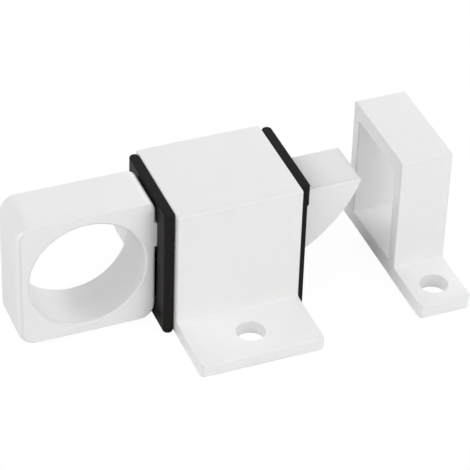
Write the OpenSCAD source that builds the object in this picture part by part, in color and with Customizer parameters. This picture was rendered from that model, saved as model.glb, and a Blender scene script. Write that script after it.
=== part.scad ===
// Sliding door spring latch: a sprung bolt in a screw-on housing, with the keeper that it shoots into.
// X runs along the bolt towards the keeper, Y from front to back and Z up.
// The origin is midway between the housing's two screw holes, on the surface that the latch is screwed to.

/* [Housing] */
// Length of the housing along the bolt
housing_length = 22.3; // [20:0.1:30]
// Depth of the housing from its front wall to its back wall
housing_depth = 20.4; // [18:0.1:26]
// Height of the housing above its base
housing_height = 24.9; // [22.5:0.1:34]
// Thickness of the front and back walls
housing_wall = 2.2; // [1.6:0.1:2.6]
// Thickness of the roof
roof_thickness = 2.2; // [1.6:0.1:2.6]
// How far each screw flange stands out from the walls of the housing
flange_reach = 12; // [10:0.1:20]
// Thickness of the housing's flanges
flange_thickness = 2.5; // [1.8:0.1:3.6]

/* [Edges] */
// Rounding of the long edges on the housing and keeper
edge_radius = 0.3; // [0.2:0.1:1]
// Fillet where a flange meets its wall
root_radius = 0.5; // [0.2:0.1:1.5]
// Rounding of the flange corners, seen from above
corner_radius = 0.9; // [0.3:0.1:2]

/* [Screws] */
// Diameter of the screw holes
screw_hole_d = 5; // [3:0.1:6]
// Distance between the front and back screw holes, the same on housing and keeper
screw_spacing = 32.4; // [27:0.1:37]

/* [End plates] */
// Thickness of the black end plates
plate_thickness = 1.8; // [1.2:0.1:3]
// How far the end plates are set back from the front and back of the housing
plate_inset = 0.9; // [0:0.1:1.5]
// How far the top of the end plates lies below the top of the housing
plate_drop = 0.1; // [0:0.1:1]
// How far the outer face of the front end plate steps back below the top of its window
plate_step = 0.5; // [0.1:0.05:0.6]
// How far the end plates' spigots reach into the housing
spigot_length = 1.5; // [1.2:0.1:3]
// Clearance around spigots and cover where they are pushed into the housing
push_clearance = 0.1; // [0.05:0.05:0.3]
// How far the snap ribs reach into their grooves
snap_depth = 0.4; // [0.2:0.1:0.7]
// Width of the snap ribs
snap_width = 0.7; // [0.4:0.1:1]

/* [Bolt] */
// Width of the bolt and of its finger ring, front to back
bolt_width = 10; // [8:0.1:11]
// How far the bolt's top face lies below the top of the housing
bolt_drop = 4.3; // [3:0.1:5]
// Height of the tongue, from its underside to its top
tongue_height = 13.2; // [12:0.1:14]
// How far the tongue stands out of the front end plate at rest
tongue_reach = 11.4; // [6:0.1:14]
// Radius of the curved ramp under the tongue
ramp_radius = 25; // [16:0.5:60]
// Rounding of the tongue's upright tip edges
tip_radius = 0.3; // [0.2:0.1:2]
// Height of the shaft that joins tongue and ring
shaft_height = 4.8; // [4:0.1:5.5]
// How far the bolt can be pulled back
travel = 11; // [6:0.1:11]
// Clearance around the bolt in its windows
bolt_play = 0.15; // [0.1:0.05:0.3]
// Depth of the heel that stops the bolt against the front end plate
heel_drop = 2.2; // [1.5:0.1:2.5]
// Length of the heel along the bolt
heel_length = 2; // [1.5:0.1:3]

/* [Finger ring] */
// Length of the ring block along the bolt
ring_length = 23.9; // [22.9:0.1:32]
// How far the top of the ring block lies below the top of the housing
ring_drop = 0; // [0:0.1:1]
// Height of the underside of the ring block above the base
ring_lift = 0.7; // [0.5:0.1:1.8]
// Rounding of the ring block's four corners
ring_corner = 2.7; // [1:0.1:4]
// Diameter of the finger hole
finger_hole_d = 20.3; // [16:0.1:20.6]
// Wall between the finger hole and the free end of the ring
ring_end_wall = 2.1; // [1:0.1:2.2]
// Gap between the ring and the rear end plate at rest
ring_gap = 0.35; // [0.2:0.05:1]

/* [Spring] */
// Outside diameter of the spring
spring_d = 5.4; // [4:0.1:5.6]
// Diameter of the spring wire
wire_d = 0.55; // [0.4:0.05:0.6]
// Number of turns between the closed ends
active_turns = 10; // [6:1:11]
// Height of the spring's axis above the underside of the tongue
spring_rise = 4.1; // [3.9:0.1:4.3]
// Radial room around the spring in its pockets
pocket_clearance = 0.4; // [0.3:0.05:0.5]
// Depth of the spring pocket in the back of the tongue
pocket_depth = 5.4; // [4:0.1:6]

/* [Base cover] */
// Thickness of the cover in the open base of the housing
cover_thickness = 2; // [1.5:0.1:3]
// Width of the spring block on the cover
block_width = 8.8; // [8:0.1:9.5]
// Gap left under the shaft and behind the spring block
block_clearance = 0.2; // [0.15:0.05:0.4]
// Thickness of the block behind the spring
block_back = 1; // [0.8:0.1:1.5]

/* [Keeper] */
// Length of the keeper along the bolt
keeper_length = 9.6; // [6:0.1:20]
// Depth of the keeper, front to back
keeper_depth = 19.8; // [16:0.1:26]
// How much higher the keeper stands than the housing
keeper_excess = 0.3; // [0:0.1:2]
// Thickness of the keeper's front and back walls
keeper_wall = 2.4; // [1.5:0.1:2.8]
// Thickness of the keeper's roof
keeper_roof = 3.1; // [2:0.1:3.5]
// Thickness of the keeper's floor and flanges
keeper_base = 2.8; // [2:0.1:4]
// How far each keeper flange stands out from its walls
keeper_flange_reach = 11.4; // [10:0.1:20]
// Distance from the front end plate to the keeper, as the pair is shown
keeper_distance = 16.6; // [12:0.1:40]
// How far the keeper stands behind the middle line of the latch, as the pair is shown
keeper_offset = 1; // [0:0.1:1.5]

/* [Hidden] */
fine = 96;
small = 32;
// Overshoot of a cut past the face that it opens
past = 1;
white_plastic = [0.93, 0.93, 0.94];
black_plastic = [0.07, 0.07, 0.075];
steel = [0.72, 0.73, 0.75];

// Housing cavity, open at both ends and underneath
cavity_width = housing_depth - 2 * housing_wall;
cavity_height = housing_height - roof_thickness;
end_face = housing_length / 2;
spigot_face = end_face - spigot_length;
plate_face = end_face + plate_thickness;
plate_width = housing_depth - 2 * plate_inset;
plate_height = housing_height - plate_drop;
rim = plate_thickness / 2;
spigot_width = cavity_width - 2 * push_clearance;
spigot_low = cover_thickness + push_clearance;
spigot_high = cavity_height - push_clearance;
snap_height = (spigot_high - spigot_low) / 2;
snap_middle = (spigot_high + spigot_low) / 2;

// Bolt stations along X at rest, and its levels above the base
bolt_top = housing_height - bolt_drop;
bolt_bottom = bolt_top - tongue_height;
heel_bottom = bolt_bottom - heel_drop;
shaft_bottom = bolt_top - shaft_height;
tip = plate_face + tongue_reach;
shoulder = spigot_face - heel_length;
ring_height = housing_height - ring_drop - ring_lift;
ring_front = -plate_face - ring_gap;
ring_end = ring_front - ring_length;
ring_middle = (ring_front + ring_end) / 2;
hole_centre = ring_end + ring_end_wall + finger_hole_d / 2;
ring_level = ring_lift + ring_height / 2;

// The ramp is an arc from the plate's face, low on the tongue, to the top of its tip
ramp_run = tip - plate_face;
ramp_half = sqrt(ramp_run * ramp_run + tongue_height * tongue_height) / 2;
ramp_sag = sqrt(max(ramp_radius * ramp_radius - ramp_half * ramp_half, 0));
ramp_x = (tip + plate_face) / 2 - ramp_sag * tongue_height / (2 * ramp_half);
ramp_z = (bolt_top + bolt_bottom) / 2 + ramp_sag * ramp_run / (2 * ramp_half);

// Spring axis and seats, with the spring block just ahead of the rear spigot
spring_height = bolt_bottom + spring_rise;
pocket_d = spring_d + 2 * pocket_clearance;
front_seat = shoulder + pocket_depth;
block_rear = -spigot_face + block_clearance;
block_front = shoulder - travel - push_clearance;
block_top = shaft_bottom - block_clearance;
rear_seat = block_rear + block_back;
spring_length = front_seat - rear_seat;
coil_radius = (spring_d - wire_d) / 2;
closed_turns = 1;
// Rise of one closed turn, so that its wire lies just clear of the next
closed_pitch = 1.1 * wire_d;
turns = active_turns + 2 * closed_turns;
pitch = (spring_length - wire_d - 2 * closed_turns * closed_pitch) / active_turns;
steps_per_turn = 16;
wire_sides = 8;

// Keeper height and stations
keeper_height = housing_height + keeper_excess;
keeper_near = plate_face + keeper_distance;
keeper_middle = keeper_near + keeper_length / 2;

// Turns an outline drawn in Y and Z into a bar along X, centred on X = 0
module bar_along_x(length) {
    rotate([90, 0, 90])
        linear_extrude(length, center = true)
            children();
}

// Turns an outline drawn in X and Z into a bar along Y, centred on Y = 0
module bar_along_y(length) {
    rotate([90, 0, 0])
        linear_extrude(length, center = true)
            children();
}

// Square with four round corners, centred
module rounded_square(width, height, radius) {
    square([width, height - 2 * radius], center = true);
    square([width - 2 * radius, height], center = true);
    for (x = [-1, 1], y = [-1, 1])
        translate([x * (width / 2 - radius), y * (height / 2 - radius)])
            circle(radius, $fn = fine);
}

// Upright outline on the base line with its two upper corners rounded
module round_topped(width, height, radius) {
    translate([-width / 2, 0])
        square([width, height - radius]);
    translate([-width / 2 + radius, 0])
        square([width - 2 * radius, height]);
    for (side = [-1, 1])
        translate([side * (width / 2 - radius), height - radius])
            circle(radius, $fn = small);
}

// Hat section shared by housing and keeper: a body between two flanges, with filleted roots
module hat_outline(depth, height, reach, thickness) {
    round_topped(depth, height, edge_radius);
    round_topped(depth + 2 * reach, thickness, edge_radius);
    for (side = [0, 1])
        mirror([side, 0])
            translate([depth / 2, thickness])
                difference() {
                    square(root_radius);
                    translate([root_radius, root_radius])
                        circle(root_radius, $fn = small);
                }
}

// Hat section of one length with rounded flange corners and its two screw holes
module screw_down_body(length, depth, height, reach, thickness) {
    difference() {
        intersection() {
            bar_along_x(length)
                hat_outline(depth, height, reach, thickness);
            linear_extrude(height)
                rounded_square(length, depth + 2 * reach, corner_radius);
        }
        for (side = [-1, 1])
            translate([0, side * screw_spacing / 2, -past])
                cylinder(d = screw_hole_d, h = thickness + 2 * past, $fn = fine);
    }
}

// Upright snap ribs on a spigot, or their grooves when room is given
module spigot_snaps(room) {
    for (side = [-1, 1])
        translate([spigot_face + spigot_length / 2, side * (spigot_width / 2), snap_middle])
            cube([snap_width + room, 2 * (snap_depth + room), snap_height + room], center = true);
}

// Long snap ribs on the cover, or their grooves when room is given
module cover_snaps(room) {
    for (side = [-1, 1])
        translate([0, side * (spigot_width / 2), cover_thickness / 2])
            cube([housing_length / 2 + room, 2 * (snap_depth + room), snap_width + room], center = true);
}

module housing() {
    color(white_plastic)
        difference() {
            screw_down_body(housing_length, housing_depth, housing_height, flange_reach, flange_thickness);
            translate([-end_face - past, -cavity_width / 2, -past])
                cube([housing_length + 2 * past, cavity_width, cavity_height + past]);
            for (end = [0, 1])
                mirror([end, 0, 0])
                    spigot_snaps(push_clearance);
            cover_snaps(push_clearance);
        }
}

// Plate with fully rounded upright ends, its inner face on X = 0 and its foot on the base
module rim_plate() {
    run = plate_width - plate_thickness;
    linear_extrude(plate_height)
        union() {
            translate([0, -run / 2])
                square([plate_thickness, run]);
            for (side = [-1, 1])
                translate([rim, side * run / 2])
                    circle(rim, $fn = fine);
        }
}

// End plate with its spigot, drawn for the front end; the window starts at the given level
module end_plate(window_low) {
    window_width = bolt_width + 2 * bolt_play;
    difference() {
        union() {
            translate([end_face, 0, 0])
                rim_plate();
            translate([spigot_face, -spigot_width / 2, spigot_low])
                cube([spigot_length + rim, spigot_width, spigot_high - spigot_low]);
            spigot_snaps(0);
        }
        translate([spigot_face - past, -window_width / 2, window_low - bolt_play])
            cube([spigot_length + plate_thickness + 2 * past, window_width,
                bolt_top - window_low + 2 * bolt_play]);
    }
}

module rear_end_plate() {
    color(black_plastic)
        mirror([1, 0, 0])
            end_plate(heel_bottom);
}

module front_end_plate() {
    color(black_plastic)
        difference() {
            end_plate(bolt_bottom);
            translate([plate_face - plate_step, -housing_depth / 2, -past])
                cube([plate_step + past, housing_depth, bolt_top + bolt_play + past]);
        }
}

// Tongue seen from the front: a block whose underside is cut back along the ramp
module tongue_outline() {
    intersection() {
        translate([shoulder, bolt_bottom])
            square([tip - shoulder, tongue_height]);
        translate([ramp_x, ramp_z])
            circle(ramp_radius, $fn = 2 * fine);
    }
}

// Tongue with the upright edges of its tip rounded
module tongue() {
    length = tip - shoulder;
    intersection() {
        bar_along_y(bolt_width)
            tongue_outline();
        linear_extrude(bolt_top) {
            translate([shoulder, -bolt_width / 2])
                square([length - tip_radius, bolt_width]);
            translate([shoulder, -bolt_width / 2 + tip_radius])
                square([length, bolt_width - 2 * tip_radius]);
            for (side = [-1, 1])
                translate([tip - tip_radius, side * (bolt_width / 2 - tip_radius)])
                    circle(tip_radius, $fn = small);
        }
    }
}

module bolt() {
    color(white_plastic)
        difference() {
            union() {
                tongue();
                translate([shoulder, -bolt_width / 2, heel_bottom])
                    cube([heel_length, bolt_width, heel_drop + tongue_height / 2]);
                translate([hole_centre, -bolt_width / 2, shaft_bottom])
                    cube([shoulder + heel_length - hole_centre, bolt_width, shaft_height]);
                translate([ring_middle, 0, ring_level])
                    bar_along_y(bolt_width)
                        rounded_square(ring_length, ring_height, ring_corner);
            }
            translate([hole_centre, 0, ring_level])
                rotate([90, 0, 0])
                    cylinder(d = finger_hole_d, h = bolt_width + 2 * past, center = true, $fn = fine);
            translate([shoulder - past, 0, spring_height])
                rotate([0, 90, 0])
                    cylinder(d = pocket_d, h = pocket_depth + past, $fn = small);
        }
}

// Height of the coil's centre line after some turns: closed ends, then an even pitch
function coil_rise(turn) =
    wire_d / 2 + closed_pitch * min(turn, closed_turns)
    + pitch * max(min(turn - closed_turns, active_turns), 0)
    + closed_pitch * max(turn - closed_turns - active_turns, 0);

// Points of one wire section after some turns, with the coil's axis along X
function coil_section(turn) = [
    for (side = [0 : wire_sides - 1])
        let (
            around = 360 * side / wire_sides,
            radius = coil_radius + wire_d / 2 * cos(around)
        )
        [
            rear_seat + coil_rise(turn) + wire_d / 2 * sin(around),
            radius * sin(360 * turn),
            spring_height + radius * cos(360 * turn)
        ]
];

module spring() {
    rings = turns * steps_per_turn;
    points = [
        for (ring = [0 : rings])
            each coil_section(ring / steps_per_turn)
    ];
    walls = [
        for (ring = [0 : rings - 1], side = [0 : wire_sides - 1])
            let (
                here = ring * wire_sides,
                next = (side + 1) % wire_sides
            )
            [here + side, here + wire_sides + side, here + wire_sides + next, here + next]
    ];
    near_end = [for (side = [0 : wire_sides - 1]) side];
    far_end = [for (side = [0 : wire_sides - 1]) rings * wire_sides + wire_sides - 1 - side];
    color(steel)
        polyhedron(points = points, faces = concat(walls, [near_end, far_end]), convexity = 10);
}

module base_cover() {
    color(black_plastic)
        difference() {
            union() {
                translate([-end_face + push_clearance, -spigot_width / 2, 0])
                    cube([housing_length - 2 * push_clearance, spigot_width, cover_thickness]);
                cover_snaps(0);
                translate([block_rear, -block_width / 2, 0])
                    cube([block_front - block_rear, block_width, block_top]);
            }
            translate([rear_seat, 0, spring_height])
                rotate([0, 90, 0])
                    cylinder(d = pocket_d, h = block_front - rear_seat + past, $fn = small);
        }
}

module keeper() {
    color(white_plastic)
        translate([keeper_middle, keeper_offset, 0])
            difference() {
                screw_down_body(keeper_length, keeper_depth, keeper_height, keeper_flange_reach, keeper_base);
                translate([-keeper_length / 2 - past, -keeper_depth / 2 + keeper_wall, keeper_base])
                    cube([keeper_length + 2 * past, keeper_depth - 2 * keeper_wall,
                        keeper_height - keeper_roof - keeper_base]);
            }
}

housing();
rear_end_plate();
front_end_plate();
bolt();
spring();
base_cover();
keeper();
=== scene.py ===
import math

import bmesh
import bpy
from mathutils import Matrix, Vector
from mathutils.geometry import tessellate_polygon


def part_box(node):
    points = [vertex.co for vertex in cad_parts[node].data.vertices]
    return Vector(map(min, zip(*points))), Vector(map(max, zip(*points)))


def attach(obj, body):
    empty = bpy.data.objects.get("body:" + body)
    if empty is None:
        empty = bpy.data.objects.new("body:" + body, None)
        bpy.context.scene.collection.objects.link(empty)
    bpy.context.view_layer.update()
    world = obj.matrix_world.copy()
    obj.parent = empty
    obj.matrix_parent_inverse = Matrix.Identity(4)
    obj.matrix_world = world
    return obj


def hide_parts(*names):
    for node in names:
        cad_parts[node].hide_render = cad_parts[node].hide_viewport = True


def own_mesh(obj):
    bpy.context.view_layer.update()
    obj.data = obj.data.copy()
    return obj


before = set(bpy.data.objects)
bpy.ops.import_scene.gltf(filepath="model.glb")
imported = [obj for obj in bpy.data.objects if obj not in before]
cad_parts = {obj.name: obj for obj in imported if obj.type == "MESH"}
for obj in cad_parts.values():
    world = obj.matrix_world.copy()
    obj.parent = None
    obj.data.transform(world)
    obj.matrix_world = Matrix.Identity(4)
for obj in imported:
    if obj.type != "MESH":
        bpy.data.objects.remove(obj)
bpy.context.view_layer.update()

MM = 0.001

# Boxes of the pieces in the frame, which the shapes below are fitted to
housing_low, housing_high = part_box("housing")
bolt_low, bolt_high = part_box("bolt")
keeper_low, keeper_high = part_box("keeper")
rear_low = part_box("rear_end_plate")[0]
front_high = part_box("front_end_plate")[1]
spring_low, spring_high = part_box("spring")

# Widths of the rounded edges, in millimetres
CASE_EDGE = 0.22
FLANGE_EDGE = 0.4
SCREW_HOLE_EDGE = 0.15
KEEPER_EDGE = 0.3
MOUTH_EDGE = 0.35
RING_EDGE = 0.2
RING_END_EDGE = 0.85
RING_PLATE_EDGE = 0.55
FINGER_HOLE_EDGE = 0.5
HIDDEN_EDGE = 0.15
TONGUE_EDGE = 0.5
TIP_EDGE = 0.2
PLATE_EDGE = 0.2
SHARPEST = 0.02

# Rounded corners of the outlines, in millimetres
HOUSING_TOP_ROUND = 0.5
KEEPER_TOP_ROUND = 0.42
MOUTH_CORNER = 0.15
ROOT_ROUND = 0.5
FLANGE_CORNER = 0.9
RING_CORNER = 2.7
RING_PLATE_CORNER = 1.8
SHAFT_CORNER = 0.3
HEEL_CORNER = 0.2

# Fineness of the curves
CORNER_STEP = 12.0  # degrees
BORDER_STEPS = 5
SMALL_HOLE_SIDES = 48
FINGER_HOLE_SIDES = 128
RAMP_STEPS = 20
TONGUE_EDGE_STEPS = 5

# Points closer than this are one, in millimetres
MERGE = 0.001
SLAB_MERGE = 0.0005

# Degrees that an edge turns by
FLAT_ANGLE = 0.6  # below this its two faces are joined
ROUNDED_ANGLE = 30  # above this it is rounded,
NOTHING_ANGLE = 25  # by nothing at this
FULL_ANGLE = 60  # and in full from this
SHARP_ANGLE = 40  # above this a drawn piece's shading stays sharp

# Turned faces narrower than these belong to a rounded edge, in millimetres: of any piece, at a
# flange's free corners and where the ring's end begins
NARROW = 0.17
NARROW_FLANGE = 0.2
NARROW_END = 0.3

# From how much of its normal along an axis a face counts as
TURNED = 0.1
LEANING = 0.3
WELL_OVER = 0.55
FACING = 0.75

# How strongly the rounded edges take the painted shade, from 0 to 1
FLANGE_CORNER_MARK = 0.4
FRONT_END_MARK = 0.6
BACK_END_MARK = 0.15
TOP_END_MARK = 0.1
LOWEST_MARK = 0.4
LONG_EDGE_MARK = 0.35
RING_END_MARK = 0.3
RING_PLATE_MARK = 0.15
RAMP_MARK = 0.5
RING_LOWEST_MARK = 0.5
BOLT_MARK = 0.2

# Housing and keeper, in millimetres
SCREW_SPACING = 32.4
SCREW_HOLE_R = 2.5
HOUSING_DEPTH = 20.4
HOUSING_WALL = 2.2
HOUSING_FLANGE = 2.5
HOUSING_ROOF = 2.2
BACK_EDGES_Y = HOUSING_DEPTH / 2 - 1
KEEPER_DEPTH = 19.8
KEEPER_WALL = 2.4
KEEPER_ROOF = 3.1
KEEPER_BASE = 2.8
SNAP_REACH = 0.4
SNAP_WIDTH = 0.8
GROOVE_X = 10.4
GROOVE_LOW = 7.175
GROOVE_HIGH = 17.525
COVER_GROOVE = 5.625
COVER_GROOVE_LEVEL = 1.0
# Overshoot of a cut past the face that it opens, and slack in telling which outline a point is on
PAST = 1
SLACK = 0.05

# The bolt, in millimetres
BOLT_TOP = 20.6
TONGUE_BOTTOM = 7.4
SHAFT_BOTTOM = 15.8
HEEL_BOTTOM = 5.2
HEEL_LENGTH = 2.0
SHOULDER = 7.65
RING_GAP = 0.1
RING_END_WALL = 2.1
FINGER_HOLE_R = 10.15
RAMP_RADIUS = 25.0
POCKET_R = 3.1
POCKET_DEPTH = 5.4

# Plastic: what grain and the edges with painted shade add to the roughness, the level that the noise swings
# around, how the two shades of a colour share it, how much the painted edge shade varies, and where a slide
# mark begins in the noise and how it fades
GRAIN_ROUGHENS = 0.12
EDGE_ROUGHENS = 0.1
NOISE_MIDDLE = 0.5
MOTTLE_SHARE = 0.5
FIRST_SHADE_BELOW = 0.55
OTHER_SHADE_ABOVE = 0.95
EDGE_SHADE_SPREAD = 0.3
MARK_LEVEL = 0.75
MARK_FADE = 0.05

# Drawn wire: streaks per turn and round the wire, its roughness and the streaks' depth in millimetres
STREAKS_ALONG = 0.4
STREAKS_ROUND = 14.0
WIRE_ROUGHNESS = 0.2
STREAKS_ROUGHEN = 0.25
STREAK_DEPTH = 0.005

# Spring wire, in millimetres
WIRE_D = 0.55
OPEN_TURNS = 10.0
CLOSED_TURNS = 1.0
CLOSED_PITCH = 1.1 * WIRE_D
TURN_STEPS = 28
WIRE_SIDES = 10

# Floor, in metres and in the share of its own white that the camera sees
FLOOR_HALF = 3.0
FLOOR_DROP = 0.02 * MM
FLOOR_GREY = 0.9
FLOOR_GLOW = 1.03
FLOOR_GLOW_SHARE = 0.92

# Softboxes: their aim and distance in millimetres and their side in metres, then for each its name,
# azimuth from the front towards the keeper and elevation in degrees, and power in watts
LAMP_TARGET = (0, 0, 12)
LAMP_RANGE = 900
LAMP_SIDE = 0.8
LAMPS = (
    ("left_softbox", -90, 42, 5.7),
    ("front_left_softbox", -30, 12, 0.6),
    ("front_softbox", 10, 12, 2.8),
    ("high_front_softbox", 40, 42, 3.44),
    ("right_softbox", 100, 12, 3.6),
    ("rear_right_softbox", 140, 12, 3.24),
    ("rear_softbox", 180, 12, 0.56),
)

# The photo's view: place in millimetres, turns in degrees and lens in millimetres
CAMERA_PLACE = (-129.91, -318.4, 276.82)
CAMERA_YAW = 22.70
CAMERA_PITCH = 37.677
CAMERA_ROLL = 1.978
CAMERA_LENS = 194.74
SENSOR_WIDTH = 36.0
NEAREST, FARTHEST = 0.01, 20.0  # metres


# Node tools


def node(tree, kind, sockets=None, **settings):
    """A new node with its settings made and its sockets filled by values or by other sockets."""
    made = tree.nodes.new(kind)
    for name, value in settings.items():
        setattr(made, name, value)
    for socket, value in (sockets or {}).items():
        if isinstance(value, bpy.types.NodeSocket):
            tree.links.new(value, made.inputs[socket])
        else:
            made.inputs[socket].default_value = value
    return made


def maths(tree, operation, *values, clamp=False):
    """The result of one sum on sockets or numbers."""
    sockets = dict(enumerate(values))
    return node(tree, "ShaderNodeMath", sockets, operation=operation, use_clamp=clamp).outputs[0]


def group(name, takes, gives):
    """An empty shader group with named sockets; returns the tree, its input and its output node."""
    tree = bpy.data.node_groups.new(name, "ShaderNodeTree")
    for way, sockets in (("INPUT", takes), ("OUTPUT", gives)):
        for label, kind in sockets:
            tree.interface.new_socket(name=label, in_out=way, socket_type="NodeSocket" + kind)
    return tree, tree.nodes.new("NodeGroupInput"), tree.nodes.new("NodeGroupOutput")


def per_millimetre(tree, size):
    """The texture scale that gives features of a size in millimetres, on coordinates in metres."""
    return maths(tree, "DIVIDE", 1 / MM, size)


def noise(tree, where, size, detail, **more):
    """Noise whose features have a size in millimetres."""
    sockets = {"Vector": where, "Scale": per_millimetre(tree, size), "Detail": detail, **more}
    return node(tree, "ShaderNodeTexNoise", sockets).outputs["Fac"]


def mixed_colour(tree, factor, first, second):
    """Two colours mixed by a factor."""
    mix = node(tree, "ShaderNodeMix", {0: factor, 6: first, 7: second}, data_type="RGBA")
    return mix.outputs[2]


def linked(name, data):
    """A new object in the scene that shows the given data."""
    made = bpy.data.objects.new(name, data)
    bpy.context.scene.collection.objects.link(made)
    return made


def built(name, shape):
    """A finished shape as a mesh object in the scene."""
    mesh = bpy.data.meshes.new(name)
    shape.to_mesh(mesh)
    shape.free()
    return linked(name, mesh)


# Effects that the finishes share


def build_mould_grain():
    """Fine grain of an eroded mould over the slow swell of cooled plastic, as heights in millimetres."""
    tree, take, give = group(
        "mould_grain",
        [
            ("Position", "Vector"),
            ("Grain size", "Float"),
            ("Grain depth", "Float"),
            ("Swell size", "Float"),
            ("Swell depth", "Float"),
        ],
        [("Height", "Float"), ("Variation", "Float")],
    )
    where = take.outputs["Position"]
    grain = noise(tree, where, take.outputs["Grain size"], 2.0, Roughness=0.6)
    swell = noise(tree, where, take.outputs["Swell size"], 1.0)
    heights = []
    for source, depth in ((grain, "Grain depth"), (swell, "Swell depth")):
        level = maths(tree, "SUBTRACT", source, NOISE_MIDDLE)
        heights.append(maths(tree, "MULTIPLY", level, take.outputs[depth]))
    tree.links.new(maths(tree, "ADD", *heights), give.inputs["Height"])
    both = maths(tree, "ADD", grain, swell)
    tree.links.new(maths(tree, "SUBTRACT", both, 2 * NOISE_MIDDLE), give.inputs["Variation"])
    return tree


def build_colour_drift():
    """Slow clouds and fine mottling between two shades of one colour."""
    tree, take, give = group(
        "colour_drift",
        [
            ("Position", "Vector"),
            ("Colour", "Color"),
            ("Other shade", "Color"),
            ("Cloud size", "Float"),
            ("Mottle size", "Float"),
        ],
        [("Colour", "Color")],
    )
    where = take.outputs["Position"]
    clouds = noise(tree, where, take.outputs["Cloud size"], 2.0)
    mottle = noise(tree, where, take.outputs["Mottle size"], 3.0)
    summed = maths(tree, "MULTIPLY_ADD", mottle, MOTTLE_SHARE, clouds)
    limits = {"Value": summed, "From Min": FIRST_SHADE_BELOW, "From Max": OTHER_SHADE_ABOVE}
    share = node(tree, "ShaderNodeMapRange", limits)
    shades = (take.outputs["Colour"], take.outputs["Other shade"])
    tree.links.new(mixed_colour(tree, share.outputs["Result"], *shades), give.inputs["Colour"])
    return tree


def build_painted_edge_shade():
    """Painted shade on the rounded edges, made patchy by noise."""
    tree, take, give = group(
        "painted_edge_shade",
        [("Position", "Vector"), ("Edge", "Float"), ("Breakup size", "Float")],
        [("Mask", "Float")],
    )
    patches = noise(tree, take.outputs["Position"], take.outputs["Breakup size"], 3.0)
    uneven = maths(tree, "SUBTRACT", patches, NOISE_MIDDLE)
    patchy = maths(tree, "MULTIPLY_ADD", uneven, EDGE_SHADE_SPREAD, 1.0)
    tree.links.new(maths(tree, "MULTIPLY", take.outputs["Edge"], patchy, clamp=True), give.inputs["Mask"])
    return tree


def build_slide_marks():
    """Hairline marks drawn out along X, the way that the bolt slides."""
    tree, take, give = group(
        "slide_marks",
        [("Position", "Vector"), ("Mark length", "Float"), ("Mark width", "Float"), ("Share", "Float")],
        [("Mask", "Float")],
    )
    along = per_millimetre(tree, take.outputs["Mark length"])
    across = per_millimetre(tree, take.outputs["Mark width"])
    stretch = node(tree, "ShaderNodeCombineXYZ", {"X": along, "Y": across, "Z": across})
    factors = {0: take.outputs["Position"], 1: stretch.outputs[0]}
    drawn = node(tree, "ShaderNodeVectorMath", factors, operation="MULTIPLY")
    streaks = node(tree, "ShaderNodeTexNoise", {"Vector": drawn.outputs[0], "Scale": 1.0, "Detail": 2.0})
    low = maths(tree, "SUBTRACT", MARK_LEVEL, take.outputs["Share"])
    high = maths(tree, "ADD", low, MARK_FADE)
    limits = {"Value": streaks.outputs["Fac"], "From Min": low, "From Max": high}
    mask = node(tree, "ShaderNodeMapRange", limits)
    tree.links.new(mask.outputs["Result"], give.inputs["Mask"])
    return tree


MOULD_GRAIN = build_mould_grain()
COLOUR_DRIFT = build_colour_drift()
PAINTED_EDGE_SHADE = build_painted_edge_shade()
SLIDE_MARKS = build_slide_marks()


def effect(tree, which, sockets):
    """A shared effect placed in a material, its named sockets filled."""
    return node(tree, "ShaderNodeGroup", sockets, node_tree=which)


def finish_tree(name):
    """A material with its Principled shader, and the place on the piece that its patterns follow."""
    made = bpy.data.materials.new(name)
    made.use_nodes = True
    tree = made.node_tree
    shader = tree.nodes["Principled BSDF"]
    position = node(tree, "ShaderNodeTexCoord").outputs["Object"]
    return made, tree, shader, position


def moulded_plastic(name, colour, other, edge_shade_colour, roughness, grain, swell, marks, sheen=0.5):
    """Moulded plastic: drifting colour, mould grain, painted shade on the rounded edges and fine slide
    marks.

    grain and swell are (size, depth) in millimetres; marks is (share, roughness, depth in millimetres).
    """
    made, tree, shader, position = finish_tree(name)
    shades = {"Colour": colour, "Other shade": other}
    sizes = {"Cloud size": 14.0, "Mottle size": 1.6}
    drift = effect(tree, COLOUR_DRIFT, {"Position": position, **shades, **sizes})
    grains = effect(
        tree,
        MOULD_GRAIN,
        {
            "Position": position,
            "Grain size": grain[0],
            "Grain depth": grain[1],
            "Swell size": swell[0],
            "Swell depth": swell[1],
        },
    )
    edge = node(tree, "ShaderNodeAttribute", attribute_name="edge").outputs["Fac"]
    broken = {"Position": position, "Edge": edge, "Breakup size": 1.2}
    edge_shade = effect(tree, PAINTED_EDGE_SHADE, broken).outputs["Mask"]
    drawn = {"Position": position, "Mark length": 9.0, "Mark width": 0.12, "Share": marks[0]}
    slid = effect(tree, SLIDE_MARKS, drawn).outputs["Mask"]
    # The edge mark mixes the edge colour into the base colour: painted shade on the rounded edges
    shaded_colour = mixed_colour(tree, edge_shade, drift.outputs["Colour"], edge_shade_colour)
    tree.links.new(shaded_colour, shader.inputs["Base Color"])
    rough = maths(tree, "MULTIPLY_ADD", grains.outputs["Variation"], GRAIN_ROUGHENS, roughness)
    rough = maths(tree, "MULTIPLY_ADD", edge_shade, EDGE_ROUGHENS, rough)
    rough = maths(tree, "MULTIPLY_ADD", slid, marks[1], rough, clamp=True)
    tree.links.new(rough, shader.inputs["Roughness"])
    height = maths(tree, "MULTIPLY_ADD", slid, -marks[2], grains.outputs["Height"])
    bump = node(tree, "ShaderNodeBump", {"Strength": 1.0, "Distance": MM, "Height": height})
    tree.links.new(bump.outputs["Normal"], shader.inputs["Normal"])
    shader.inputs["IOR"].default_value = 1.5
    shader.inputs["Specular IOR Level"].default_value = sheen
    return made


def grey(level, warmth=0.0):
    """A grey of a level, made a little warmer where wanted."""
    return (level * (1 + warmth), level, level * (1 - warmth), 1.0)


# Each edge colour is painted shade on the rounded edges; the black plates' edge colour is about their own
# black
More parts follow.
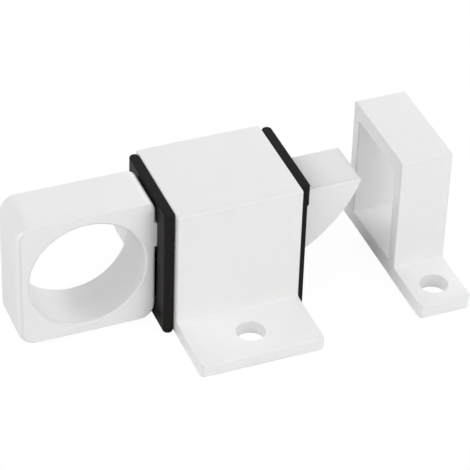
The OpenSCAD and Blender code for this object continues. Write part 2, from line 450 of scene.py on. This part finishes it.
CASE_WHITE = moulded_plastic(
    "case_white",
    colour=grey(0.9),
    other=grey(0.875, 0.004),
    edge_shade_colour=grey(0.62),
    roughness=0.42,
    grain=(0.22, 0.006),
    swell=(7.0, 0.02),
    marks=(0.08, 0.05, 0.001),
)
BOLT_WHITE = moulded_plastic(
    "bolt_white",
    colour=grey(0.915),
    other=grey(0.89, 0.004),
    edge_shade_colour=grey(0.63),
    roughness=0.4,
    grain=(0.2, 0.004),
    swell=(8.0, 0.02),
    marks=(0.12, 0.08, 0.002),
)
PLATE_BLACK = moulded_plastic(
    "plate_black",
    colour=grey(0.0165, 0.05),
    other=grey(0.0195, 0.05),
    edge_shade_colour=grey(0.017),
    roughness=0.2,
    grain=(0.2, 0.008),
    swell=(5.0, 0.02),
    marks=(0.1, 0.06, 0.001),
    sheen=0.02,
)


def drawn_wire(name):
    """Spring steel: bright drawn wire with streaks along it and a trace of oil tint."""
    made, tree, shader, position = finish_tree(name)
    along = node(tree, "ShaderNodeAttribute", attribute_name="along").outputs["Fac"]
    around = node(tree, "ShaderNodeAttribute", attribute_name="around").outputs["Fac"]
    x, y = maths(tree, "MULTIPLY", along, STREAKS_ALONG), maths(tree, "MULTIPLY", around, STREAKS_ROUND)
    place = node(tree, "ShaderNodeCombineXYZ", {"X": x, "Y": y})
    streaks = node(tree, "ShaderNodeTexNoise", {"Vector": place.outputs[0], "Scale": 1.0, "Detail": 3.0})
    shades = {"Colour": grey(0.5), "Other shade": grey(0.4, 0.04)}
    sizes = {"Cloud size": 3.0, "Mottle size": 0.4}
    drift = effect(tree, COLOUR_DRIFT, {"Position": position, **shades, **sizes})
    tree.links.new(drift.outputs["Colour"], shader.inputs["Base Color"])
    streak = streaks.outputs["Fac"]
    rough = maths(tree, "MULTIPLY_ADD", streak, STREAKS_ROUGHEN, WIRE_ROUGHNESS)
    tree.links.new(rough, shader.inputs["Roughness"])
    bump = node(tree, "ShaderNodeBump", {"Strength": 0.6, "Distance": STREAK_DEPTH * MM, "Height": streak})
    tree.links.new(bump.outputs["Normal"], shader.inputs["Normal"])
    shader.inputs["Metallic"].default_value = 1.0
    return made


WIRE_STEEL = drawn_wire("spring_steel_wire")


# Pieces made from the frame's solids, with their sharp edges rounded


def softened(cad_node, name, material, body):
    """A node's shape with its sharp edges rounded, less where they turn less."""
    shape = bmesh.new()
    shape.from_mesh(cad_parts[cad_node].data)
    bmesh.ops.remove_doubles(shape, verts=shape.verts, dist=MERGE * MM)
    flat = math.radians(FLAT_ANGLE)
    bmesh.ops.dissolve_limit(shape, angle_limit=flat, verts=shape.verts, edges=shape.edges)
    weights = shape.edges.layers.float.new("bevel_weight_edge")
    for edge in shape.edges:
        turn = math.degrees(edge.calc_face_angle()) if edge.is_manifold else 0.0
        if turn > ROUNDED_ANGLE:
            edge[weights] = min(1.0, (turn - NOTHING_ANGLE) / (FULL_ANGLE - NOTHING_ANGLE))
    draft = built(name + "_draft", shape)
    draft.data.materials.append(material)
    draft.data.materials.append(None)
    bevel = draft.modifiers.new("edges", "BEVEL")
    bevel.limit_method = "WEIGHT"
    bevel.width = PLATE_EDGE * MM
    bevel.segments = 2
    bevel.use_clamp_overlap = False
    bevel.miter_outer = "MITER_ARC"
    bevel.material = 1
    piece = plain_mesh(draft, name)
    mark_faces(piece.data, [float(face.material_index == 1) for face in piece.data.polygons])
    return dressed(piece, material, body, cad_node)


def plain_mesh(draft, name):
    """The draft's finished shape as a plain mesh on a new object at the origin; the draft goes."""
    evaluated = draft.evaluated_get(bpy.context.evaluated_depsgraph_get())
    mesh = bpy.data.meshes.new_from_object(evaluated)
    mesh.name = name
    bpy.data.objects.remove(draft)
    return linked(name, mesh)


def mark_faces(mesh, marks):
    """Gives each face its 'edge' mark, which the finishes darken with painted shade."""
    mesh.attributes.new("edge", "FLOAT", "FACE").data.foreach_set("value", marks)


def dressed(piece, material, body, cad_node):
    """Shading, material and body set, and the node that the piece stands for hidden."""
    mesh = piece.data
    mesh.materials.clear()
    mesh.materials.append(material)
    for face in mesh.polygons:
        face.material_index = 0
        face.use_smooth = True
    level = piece.modifiers.new("flats", "WEIGHTED_NORMAL")
    level.keep_sharp = True
    level.weight = 80
    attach(piece, body)
    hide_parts(cad_node)
    return piece


# Moulded pieces drawn as slabs with rounded borders


def rounded_loop(corners):
    """Points of a closed outline whose corners (u, v, radius) are rounded, in the order they are given."""
    loop = []
    for i, (u, v, radius) in enumerate(corners):
        corner = Vector((u, v))
        if not radius:
            loop.append(corner)
            continue
        before = (Vector(corners[i - 1][:2]) - corner).normalized()
        after = (Vector(corners[(i + 1) % len(corners)][:2]) - corner).normalized()
        half = before.angle(after) / 2
        centre = corner + (before + after).normalized() * (radius / math.sin(half))
        start = corner + before * (radius / math.tan(half)) - centre
        turn = -2 * (math.pi / 2 - half) * (1 if before.cross(after) > 0 else -1)
        count = max(2, round(math.degrees(abs(turn)) / CORNER_STEP))
        for k in range(count + 1):
            loop.append(centre + Matrix.Rotation(turn * k / count, 2) @ start)
    return loop


def circle_loop(u, v, radius, count):
    """A round hole, run clockwise so that its left side is the solid."""
    turns = [-math.tau * k / count for k in range(count)]
    return [Vector((u + radius * math.cos(t), v + radius * math.sin(t))) for t in turns]


def inset_directions(loop):
    """For each point of a loop, how it moves into the solid for one unit of inset."""
    moves = []
    for i, point in enumerate(loop):
        to_here = (point - loop[i - 1]).normalized()
        from_here = (loop[(i + 1) % len(loop)] - point).normalized()
        first, second = Vector((-to_here.y, to_here.x)), Vector((-from_here.y, from_here.x))
        moves.append((first + second) / (1 + first.dot(second)))
    return moves


AXES = {"x": lambda u, v, w: (w, u, v), "y": lambda u, v, w: (u, w, v), "z": lambda u, v, w: (u, v, w)}


def slab(name, axis, low, high, loops, border=None):
    """A solid between two levels on an axis, its borders rounded by the radius that border gives there."""
    shape = bmesh.new()
    steps = BORDER_STEPS if border else 1
    place = AXES[axis]
    caps = {0: [], 1: []}
    for loop in loops:
        moves = inset_directions(loop)
        radii = [border(p.x, p.y) if border else 0.0 for p in loop]
        layers = []
        for end in (0, 1):
            rings = []
            for k in range(steps + 1):
                angle = math.pi / 2 * k / steps
                ring = []
                for point, move, radius in zip(loop, moves, radii):
                    at = point + move * (radius * (1 - math.sin(angle)))
                    depth = radius * (1 - math.cos(angle))
                    level = high - depth if end else low + depth
                    ring.append(shape.verts.new([c * MM for c in place(at.x, at.y, level)]))
                rings.append(ring)
            caps[end].append(rings[0])
            layers += reversed(rings) if end else rings
        for near, far in zip(layers, layers[1:]):
            for i in range(len(loop)):
                j = (i + 1) % len(loop)
                shape.faces.new((near[i], near[j], far[j], far[i]))
    for end in (0, 1):
        points = [v for ring in caps[end] for v in ring]
        flat = [[v.co.copy() for v in ring] for ring in caps[end]]
        for three in tessellate_polygon(flat):
            shape.faces.new([points[i] for i in three])
    bmesh.ops.remove_doubles(shape, verts=shape.verts, dist=SLAB_MERGE * MM)
    bmesh.ops.recalc_face_normals(shape, faces=shape.faces)
    return built(name, shape)


def loft(name, loops):
    """A solid through level loops of as many points each, given from the bottom up as (level, points)."""
    shape = bmesh.new()
    rings = []
    for level, points in loops:
        rings.append([shape.verts.new((p.x * MM, p.y * MM, level * MM)) for p in points])
    for near, far in zip(rings, rings[1:]):
        for i in range(len(near)):
            j = (i + 1) % len(near)
            shape.faces.new((near[i], near[j], far[j], far[i]))
    shape.faces.new(rings[0])
    shape.faces.new(rings[-1])
    bmesh.ops.recalc_face_normals(shape, faces=shape.faces)
    return built(name, shape)


def even(radius):
    """The same border radius all round."""
    return lambda u, v: radius


def block(name, low, high):
    """A plain box between two corners, only used to cut with."""
    (x0, y0, z0), (x1, y1, z1) = low, high
    corners = [(x0, y0, 0), (x1, y0, 0), (x1, y1, 0), (x0, y1, 0)]
    return slab(name, "z", z0, z1, [rounded_loop(corners)])


def joined(base, tools, operation):
    """The base with each tool added to it or cut from it; the tools go."""
    for tool in tools:
        step = base.modifiers.new("step", "BOOLEAN")
        step.operation = operation
        step.solver = "MANIFOLD"
        step.object = tool
        name = base.name
        base.name = name + "_before"
        base = plain_mesh(base, name)
        bpy.data.objects.remove(tool)
    return base


def mark_edges(mesh, shade):
    """Marks the narrow turned faces of the rounded edges for painted shade as shade says, and keeps corners
    sharp.
    """
    shape = bmesh.new()
    shape.from_mesh(mesh)
    bmesh.ops.remove_doubles(shape, verts=shape.verts, dist=MERGE * MM)
    for edge in shape.edges:
        edge.smooth = not (edge.is_manifold and math.degrees(edge.calc_face_angle()) > SHARP_ANGLE)
    marks = []
    for face in shape.faces:
        width = face.calc_area() / max(edge.calc_length() for edge in face.edges) / MM
        turned = sum(abs(part) > TURNED for part in face.normal) > 1
        marks.append(shade(face.normal, face.calc_center_median() / MM, width) if turned else 0.0)
    shape.to_mesh(mesh)
    shape.free()
    mark_faces(mesh, marks)


def case_shade(normal, place, width):
    """Painted shade on the edges of housing and keeper: most on the upright edges in front and on the
    lowest edges.
    """
    if width > NARROW_FLANGE:
        return 0.0
    if width > NARROW:
        return FLANGE_CORNER_MARK if abs(normal.x) > WELL_OVER and abs(normal.y) > WELL_OVER else 0.0
    if abs(normal.x) > LEANING and abs(normal.y) > LEANING:
        return FRONT_END_MARK if place.y < BACK_EDGES_Y else BACK_END_MARK
    if abs(normal.x) > LEANING:
        return TOP_END_MARK
    return LOWEST_MARK if normal.z < -LEANING else LONG_EDGE_MARK * min(abs(normal.y), abs(normal.z))


def bolt_shade(normal, place, width):
    """Painted shade on the bolt's edges: round the ring's end, along its lowest edges and down the ramp."""
    on_ring = place.x < rear_low.x / MM
    if place.x < bolt_low.x / MM + RING_CORNER / 2 and normal.x < -TURNED and abs(normal.y) > FACING:
        return RING_END_MARK if width < NARROW_END else 0.0
    if on_ring and place.z > bolt_high.z / MM - RING_PLATE_CORNER and normal.x > LEANING:
        return RING_PLATE_MARK
    if width > NARROW:
        return 0.0
    if place.x > front_high.x / MM and normal.x > LEANING and abs(normal.y) > LEANING:
        return RAMP_MARK
    return RING_LOWEST_MARK if normal.z < -LEANING and on_ring else BOLT_MARK


def moulded(piece, shade, material, body, cad_node):
    """A drawn piece, its edges marked, its finish and body set and its node hidden."""
    mark_edges(piece.data, shade)
    return dressed(piece, material, body, cad_node)


def flange(low, high, inner, outer, thickness, hole_y):
    """A screw flange seen from above, with round corners at its free end and a screw hole."""
    x0, x1 = low.x / MM, high.x / MM
    free = FLANGE_CORNER
    if outer < inner:
        corners = [(x0, outer, free), (x1, outer, free), (x1, inner, 0), (x0, inner, 0)]
    else:
        corners = [(x0, inner, 0), (x1, inner, 0), (x1, outer, free), (x0, outer, free)]
    hole_x = (x0 + x1) / 2
    hole = circle_loop(hole_x, hole_y, SCREW_HOLE_R, SMALL_HOLE_SIDES)

    def border(u, v):
        """Least at the screw hole, and growing towards the free end."""
        if math.hypot(u - hole_x, v - hole_y) < SCREW_HOLE_R + SLACK:
            return SCREW_HOLE_EDGE
        share = 1 - min(1.0, abs(v - outer) / FLANGE_CORNER)
        return CASE_EDGE + (FLANGE_EDGE - CASE_EDGE) * share

    return slab("flange", "z", 0, thickness, [rounded_loop(corners), hole], border)


def body_outline(middle, depth, height, thickness, top):
    """Walls and roof seen along the bolt, with round top edges and fillet toes on the flanges."""
    front, back = middle - depth / 2, middle + depth / 2
    toe = ROOT_ROUND
    return rounded_loop(
        [
            (front, 0, 0),
            (back, 0, 0),
            (back, thickness / 2, 0),
            (back + toe, thickness / 2, 0),
            (back + toe, thickness, 0),
            (back, thickness, toe),
            (back, height, top),
            (front, height, top),
            (front, thickness, toe),
            (front - toe, thickness, 0),
            (front - toe, thickness / 2, 0),
            (front, thickness / 2, 0),
        ]
    )


def make_housing():
    """The housing: hat section with two flanges, its cavity and the grooves for the snap ribs."""
    x1, height = housing_high.x / MM, housing_high.z / MM
    reach = housing_high.y / MM
    inside = HOUSING_DEPTH / 2 - HOUSING_WALL
    outline = body_outline(0, HOUSING_DEPTH, height, HOUSING_FLANGE, HOUSING_TOP_ROUND)
    body = slab("housing_shell", "x", -x1, x1, [outline], even(CASE_EDGE))
    wall = (HOUSING_DEPTH - HOUSING_WALL) / 2
    flanges = []
    for side in (-1, 1):
        hole_y = side * SCREW_SPACING / 2
        flanges.append(
            flange(housing_low, housing_high, side * wall, side * reach, HOUSING_FLANGE, hole_y)
        )
    body = joined(body, flanges, "UNION")
    cuts = [block("cavity", (-x1 - PAST, -inside, -PAST), (x1 + PAST, inside, height - HOUSING_ROOF))]
    groove, half = inside + SNAP_REACH, SNAP_WIDTH / 2
    for x in (-GROOVE_X, GROOVE_X):
        cuts.append(block("groove", (x - half, -groove, GROOVE_LOW), (x + half, groove, GROOVE_HIGH)))
    low, high = COVER_GROOVE_LEVEL - half, COVER_GROOVE_LEVEL + half
    cuts.append(block("groove", (-COVER_GROOVE, -groove, low), (COVER_GROOVE, groove, high)))
    return joined(body, cuts, "DIFFERENCE")


def make_keeper():
    """The keeper: a frame open along the bolt's way, with two flanges."""
    x0, x1, height = keeper_low.x / MM, keeper_high.x / MM, keeper_high.z / MM
    y0, y1 = keeper_low.y / MM, keeper_high.y / MM
    middle = (y0 + y1) / 2
    inside = KEEPER_DEPTH / 2 - KEEPER_WALL
    roof = height - KEEPER_ROOF
    mouth = rounded_loop(
        [
            (middle - inside, KEEPER_BASE, MOUTH_CORNER),
            (middle - inside, roof, MOUTH_CORNER),
            (middle + inside, roof, MOUTH_CORNER),
            (middle + inside, KEEPER_BASE, MOUTH_CORNER),
        ]
    )
    outer = body_outline(middle, KEEPER_DEPTH, height, KEEPER_BASE, KEEPER_TOP_ROUND)

    def border(u, v):
        """Wider round the mouth than round the outline."""
        in_mouth = abs(u - middle) < inside + SLACK and KEEPER_BASE - SLACK < v < roof + SLACK
        return MOUTH_EDGE if in_mouth else KEEPER_EDGE

    body = slab("keeper_frame", "x", x0, x1, [outer, mouth], border)
    wall = (KEEPER_DEPTH - KEEPER_WALL) / 2
    flanges = []
    for side, reach in ((-1, y0), (1, y1)):
        hole_y = middle + side * SCREW_SPACING / 2
        flanges.append(flange(keeper_low, keeper_high, middle + side * wall, reach, KEEPER_BASE, hole_y))
    return joined(body, flanges, "UNION")


def make_bolt():
    """The bolt: finger ring, shaft and heel drawn from the front, with the tongue and the spring pocket."""
    ring_end, tip = bolt_low.x / MM, bolt_high.x / MM
    bottom, top = bolt_low.z / MM, bolt_high.z / MM
    half = bolt_high.y / MM
    plate_face = front_high.x / MM
    ring_front = rear_low.x / MM - RING_GAP
    heel_end = SHOULDER + HEEL_LENGTH
    corners = [
        (ring_end, bottom, RING_CORNER),
        (ring_front, bottom, RING_CORNER),
        (ring_front, SHAFT_BOTTOM, SHAFT_CORNER),
        (SHOULDER, SHAFT_BOTTOM, SHAFT_CORNER),
        (SHOULDER, HEEL_BOTTOM, HEEL_CORNER),
        (heel_end, HEEL_BOTTOM, HEEL_CORNER),
        (heel_end, BOLT_TOP, HEEL_CORNER),
        (ring_front, BOLT_TOP, SHAFT_CORNER),
        (ring_front, top, RING_PLATE_CORNER),
        (ring_end, top, RING_CORNER),
    ]
    ring_x = ring_end + RING_END_WALL + FINGER_HOLE_R
    ring_z = (bottom + top) / 2
    hole = circle_loop(ring_x, ring_z, FINGER_HOLE_R, FINGER_HOLE_SIDES)

    def border(u, v):
        """Growing towards the ring's free end and, less, towards the plate; small inside the housing."""
        if math.hypot(u - ring_x, v - ring_z) < FINGER_HOLE_R + SLACK:
            return FINGER_HOLE_EDGE
        if u > ring_front + SLACK:
            return HIDDEN_EDGE
        at_end = max(0.0, 1 - (u - ring_end) / RING_CORNER)
        at_plate = max(0.0, 1 - (ring_front - u) / RING_PLATE_CORNER)
        return RING_EDGE + (RING_END_EDGE - RING_EDGE) * at_end + (RING_PLATE_EDGE - RING_EDGE) * at_plate

    body = slab("sliding_bolt_and_ring", "y", -half, half, [rounded_loop(corners), hole], border)
    body = joined(body, [make_tongue(tip, half, plate_face)], "UNION")
    axis_z = (spring_low.z + spring_high.z) / 2 / MM
    bore = list(reversed(circle_loop(0, axis_z, POCKET_R, SMALL_HOLE_SIDES)))
    pocket = slab("pocket", "x", SHOULDER - PAST, SHOULDER + POCKET_DEPTH, [bore])
    return joined(body, [pocket], "DIFFERENCE")


def make_tongue(tip, half, plate_face):
    """The tongue as level loops from the bottom up: its end follows the ramp, its top edges are round."""
    run, rise = tip - plate_face, BOLT_TOP - TONGUE_BOTTOM
    chord = math.hypot(run, rise) / 2
    sag = math.sqrt(RAMP_RADIUS**2 - chord**2)
    ramp_x = (tip + plate_face) / 2 - sag * rise / (2 * chord)
    ramp_z = (BOLT_TOP + TONGUE_BOTTOM) / 2 + sag * run / (2 * chord)
    start = SHOULDER + HEEL_LENGTH / 4
    levels = [(TONGUE_BOTTOM + (rise - TONGUE_EDGE) * k / RAMP_STEPS, 0.0) for k in range(RAMP_STEPS + 1)]
    for k in range(1, TONGUE_EDGE_STEPS + 1):
        angle = math.pi / 2 * k / TONGUE_EDGE_STEPS
        levels.append((BOLT_TOP - TONGUE_EDGE * (1 - math.sin(angle)), TONGUE_EDGE * (1 - math.cos(angle))))
    loops = []
    for level, inset in levels:
        end = ramp_x + math.sqrt(RAMP_RADIUS**2 - (level - ramp_z) ** 2) - inset
        side = half - inset
        corner = max(TIP_EDGE - inset, SHARPEST)
        corners = [(start, -side, 0), (end, -side, corner), (end, side, corner), (start, side, 0)]
        loops.append((level, rounded_loop(corners)))
    return loft("tongue", loops)


moulded(make_housing(), case_shade, CASE_WHITE, "latch_case", "housing")
moulded(make_keeper(), case_shade, CASE_WHITE, "latch_case", "keeper")
moulded(make_bolt(), bolt_shade, BOLT_WHITE, "sliding_bolt", "bolt")
softened("rear_end_plate", "rear_plate", PLATE_BLACK, "latch_case")
softened("front_end_plate", "front_plate", PLATE_BLACK, "latch_case")
softened("base_cover", "base_cover_plate", PLATE_BLACK, "latch_case")


# The coil spring, by Geometry Nodes


def build_coil_tree():
    """A compression spring along X: closed turns at both ends and an even pitch between them."""
    tree = bpy.data.node_groups.new("coil_spring", "GeometryNodeTree")
    for label, kind in (
        ("Coil radius", "Float"),
        ("Wire radius", "Float"),
        ("Open turns", "Float"),
        ("Closed turns", "Float"),
        ("Closed pitch", "Float"),
        ("Length", "Float"),
        ("Seat", "Float"),
        ("Axis level", "Float"),
        ("Steps per turn", "Int"),
        ("Wire sides", "Int"),
        ("Wire finish", "Material"),
    ):
        tree.interface.new_socket(name=label, in_out="INPUT", socket_type="NodeSocket" + kind)
    tree.interface.new_socket(name="Spring", in_out="OUTPUT", socket_type="NodeSocketGeometry")
    take = tree.nodes.new("NodeGroupInput").outputs
    give = tree.nodes.new("NodeGroupOutput")

    ends = maths(tree, "MULTIPLY", take["Closed turns"], 2.0)
    turns = maths(tree, "ADD", take["Open turns"], ends)
    count = maths(tree, "MULTIPLY_ADD", turns, take["Steps per turn"], 1.0)
    line = node(tree, "GeometryNodeCurvePrimitiveLine")
    stepped = node(tree, "GeometryNodeResampleCurve", {"Curve": line.outputs["Curve"], "Count": count})
    factor = node(tree, "GeometryNodeSplineParameter").outputs["Factor"]
    turn = maths(tree, "MULTIPLY", factor, turns)

    closed_rise = maths(tree, "MULTIPLY", ends, take["Closed pitch"])
    seats = maths(tree, "MULTIPLY_ADD", take["Wire radius"], 2.0, closed_rise)
    open_rise = maths(tree, "SUBTRACT", take["Length"], seats)
    pitch = maths(tree, "DIVIDE", open_rise, take["Open turns"])
    past_first = maths(tree, "SUBTRACT", turn, take["Closed turns"])
    opened = maths(tree, "MAXIMUM", maths(tree, "MINIMUM", past_first, take["Open turns"]), 0.0)
    shut = maths(tree, "SUBTRACT", turn, opened)
    rise = maths(tree, "MULTIPLY_ADD", opened, pitch, maths(tree, "MULTIPLY", shut, take["Closed pitch"]))
    x = maths(tree, "ADD", maths(tree, "ADD", take["Seat"], take["Wire radius"]), rise)
    angle = maths(tree, "MULTIPLY", turn, math.tau)
    y = maths(tree, "MULTIPLY", maths(tree, "SINE", angle), take["Coil radius"])
    z = maths(tree, "MULTIPLY_ADD", maths(tree, "COSINE", angle), take["Coil radius"], take["Axis level"])
    place = node(tree, "ShaderNodeCombineXYZ", {"X": x, "Y": y, "Z": z})
    kept = {"Geometry": stepped.outputs["Curve"], "Name": "along", "Value": turn}
    marked = node(tree, "GeometryNodeStoreNamedAttribute", kept)
    moved = {"Geometry": marked.outputs["Geometry"], "Position": place.outputs[0]}
    coil = node(tree, "GeometryNodeSetPosition", moved)

    circle = {"Resolution": take["Wire sides"], "Radius": take["Wire radius"]}
    section = node(tree, "GeometryNodeCurvePrimitiveCircle", circle)
    section_way = node(tree, "GeometryNodeSplineParameter").outputs["Factor"]
    kept = {"Geometry": section.outputs["Curve"], "Name": "around", "Value": section_way}
    marked_section = node(tree, "GeometryNodeStoreNamedAttribute", kept)
    wire = node(
        tree,
        "GeometryNodeCurveToMesh",
        {
            "Curve": coil.outputs["Geometry"],
            "Profile Curve": marked_section.outputs["Geometry"],
            "Fill Caps": True,
        },
    )
    smooth = node(tree, "GeometryNodeSetShadeSmooth", {"Geometry": wire.outputs["Mesh"]})
    solid = node(tree, "GeometryNodeRealizeInstances", {"Geometry": smooth.outputs["Geometry"]})
    covered = {"Geometry": solid.outputs["Geometry"], "Material": take["Wire finish"]}
    finished = node(tree, "GeometryNodeSetMaterial", covered)
    tree.links.new(finished.outputs["Geometry"], give.inputs["Spring"])
    return tree


def made_by(tree, name, values):
    """A plain mesh object from a Geometry Nodes tree, its inputs set by identifier."""
    draft = linked(name + "_draft", bpy.data.meshes.new(name + "_draft"))
    maker = draft.modifiers.new("maker", "NODES")
    maker.node_group = tree
    for item in tree.interface.items_tree:
        if item.in_out == "INPUT" and item.name in values:
            maker[item.identifier] = values[item.name]
    return plain_mesh(draft, name)


spring_length = spring_high.x - spring_low.x
spring_axis = (spring_low.z + spring_high.z) / 2
spring = made_by(
    build_coil_tree(),
    "coil_spring_wire",
    {
        "Coil radius": (spring_high.z - spring_low.z - WIRE_D * MM) / 2,
        "Wire radius": WIRE_D * MM / 2,
        "Open turns": OPEN_TURNS,
        "Closed turns": CLOSED_TURNS,
        "Closed pitch": CLOSED_PITCH * MM,
        "Length": spring_length,
        "Seat": spring_low.x,
        "Axis level": spring_axis,
        "Steps per turn": TURN_STEPS,
        "Wire sides": WIRE_SIDES,
        "Wire finish": WIRE_STEEL,
    },
)
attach(spring, "latch_case")
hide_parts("spring")
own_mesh(spring)


# Floor, light and camera


def add_floor():
    """A plain pale floor that keeps the object's shadow and looks as white as the background."""
    corners = [(-1, -1), (1, -1), (1, 1), (-1, 1)]
    mesh = bpy.data.meshes.new("floor")
    points = [(x * FLOOR_HALF, y * FLOOR_HALF, -FLOOR_DROP) for x, y in corners]
    mesh.from_pydata(points, [], [(0, 1, 2, 3)])
    finish = bpy.data.materials.new("pale_floor")
    finish.use_nodes = True
    tree = finish.node_tree
    tree.nodes.clear()
    paper = node(tree, "ShaderNodeBsdfDiffuse", {"Color": grey(FLOOR_GREY)})
    glow = node(tree, "ShaderNodeEmission", {"Color": grey(1.0), "Strength": FLOOR_GLOW})
    shown = node(tree, "ShaderNodeLightPath").outputs["Is Camera Ray"]
    share = maths(tree, "MULTIPLY", shown, FLOOR_GLOW_SHARE)
    mixed = node(tree, "ShaderNodeMixShader", {0: share, 1: paper.outputs[0], 2: glow.outputs[0]})
    node(tree, "ShaderNodeOutputMaterial", {"Surface": mixed.outputs[0]})
    mesh.materials.append(finish)
    floor = linked("floor", mesh)


def add_world():
    """A white background for camera, mirror and glass rays, which gives no light of its own."""
    world = bpy.data.worlds.new("white_tent")
    world.use_nodes = True
    tree = world.node_tree
    tree.nodes.clear()
    rays = node(tree, "ShaderNodeLightPath").outputs
    mirrored = maths(tree, "MAXIMUM", rays["Is Glossy Ray"], rays["Is Transmission Ray"])
    shown = maths(tree, "MAXIMUM", rays["Is Camera Ray"], mirrored)
    sky = node(tree, "ShaderNodeBackground", {"Color": grey(1.0), "Strength": shown})
    node(tree, "ShaderNodeOutputWorld", {"Surface": sky.outputs[0]})
    bpy.context.scene.world = world


def add_lamp(name, azimuth, elevation, watts):
    """A square softbox on the dome of lamps, turned to the latch."""
    data = bpy.data.lights.new(name, "AREA")
    data.shape = "SQUARE"
    data.size = LAMP_SIDE
    data.energy = watts
    turn, rise = math.radians(azimuth), math.radians(elevation)
    level = LAMP_RANGE * math.cos(rise)
    target = Vector(LAMP_TARGET)
    height = target.z + LAMP_RANGE * math.sin(rise)
    place = Vector((level * math.sin(turn), -level * math.cos(turn), height))
    lamp = linked(name, data)
    lamp.rotation_mode = "QUATERNION"
    lamp.rotation_quaternion = (target - place).to_track_quat("-Z", "Y")
    lamp.location = place * MM


def add_camera():
    """The photo's view: yaw turns from +Y towards +X, pitch looks down and roll leans the frame."""
    yaw, pitch, roll = (math.radians(v) for v in (CAMERA_YAW, CAMERA_PITCH, CAMERA_ROLL))
    across = math.cos(pitch)
    ahead = Vector((math.sin(yaw) * across, math.cos(yaw) * across, -math.sin(pitch)))
    level = Vector((math.cos(yaw), -math.sin(yaw), 0))
    above = level.cross(ahead)
    right = math.cos(roll) * level + math.sin(roll) * above
    up = -math.sin(roll) * level + math.cos(roll) * above
    data = bpy.data.cameras.new("photo_view")
    data.lens = CAMERA_LENS
    data.sensor_width = SENSOR_WIDTH
    data.clip_start, data.clip_end = NEAREST, FARTHEST
    camera = linked("photo_view", data)
    turned = Matrix((right, up, -ahead)).transposed().to_4x4()
    turned.translation = Vector(CAMERA_PLACE) * MM
    camera.matrix_world = turned
    bpy.context.scene.camera = camera


add_floor()
add_world()
for lamp in LAMPS:
    add_lamp(*lamp)
add_camera()

bpy.context.scene.view_settings.view_transform = "Standard"
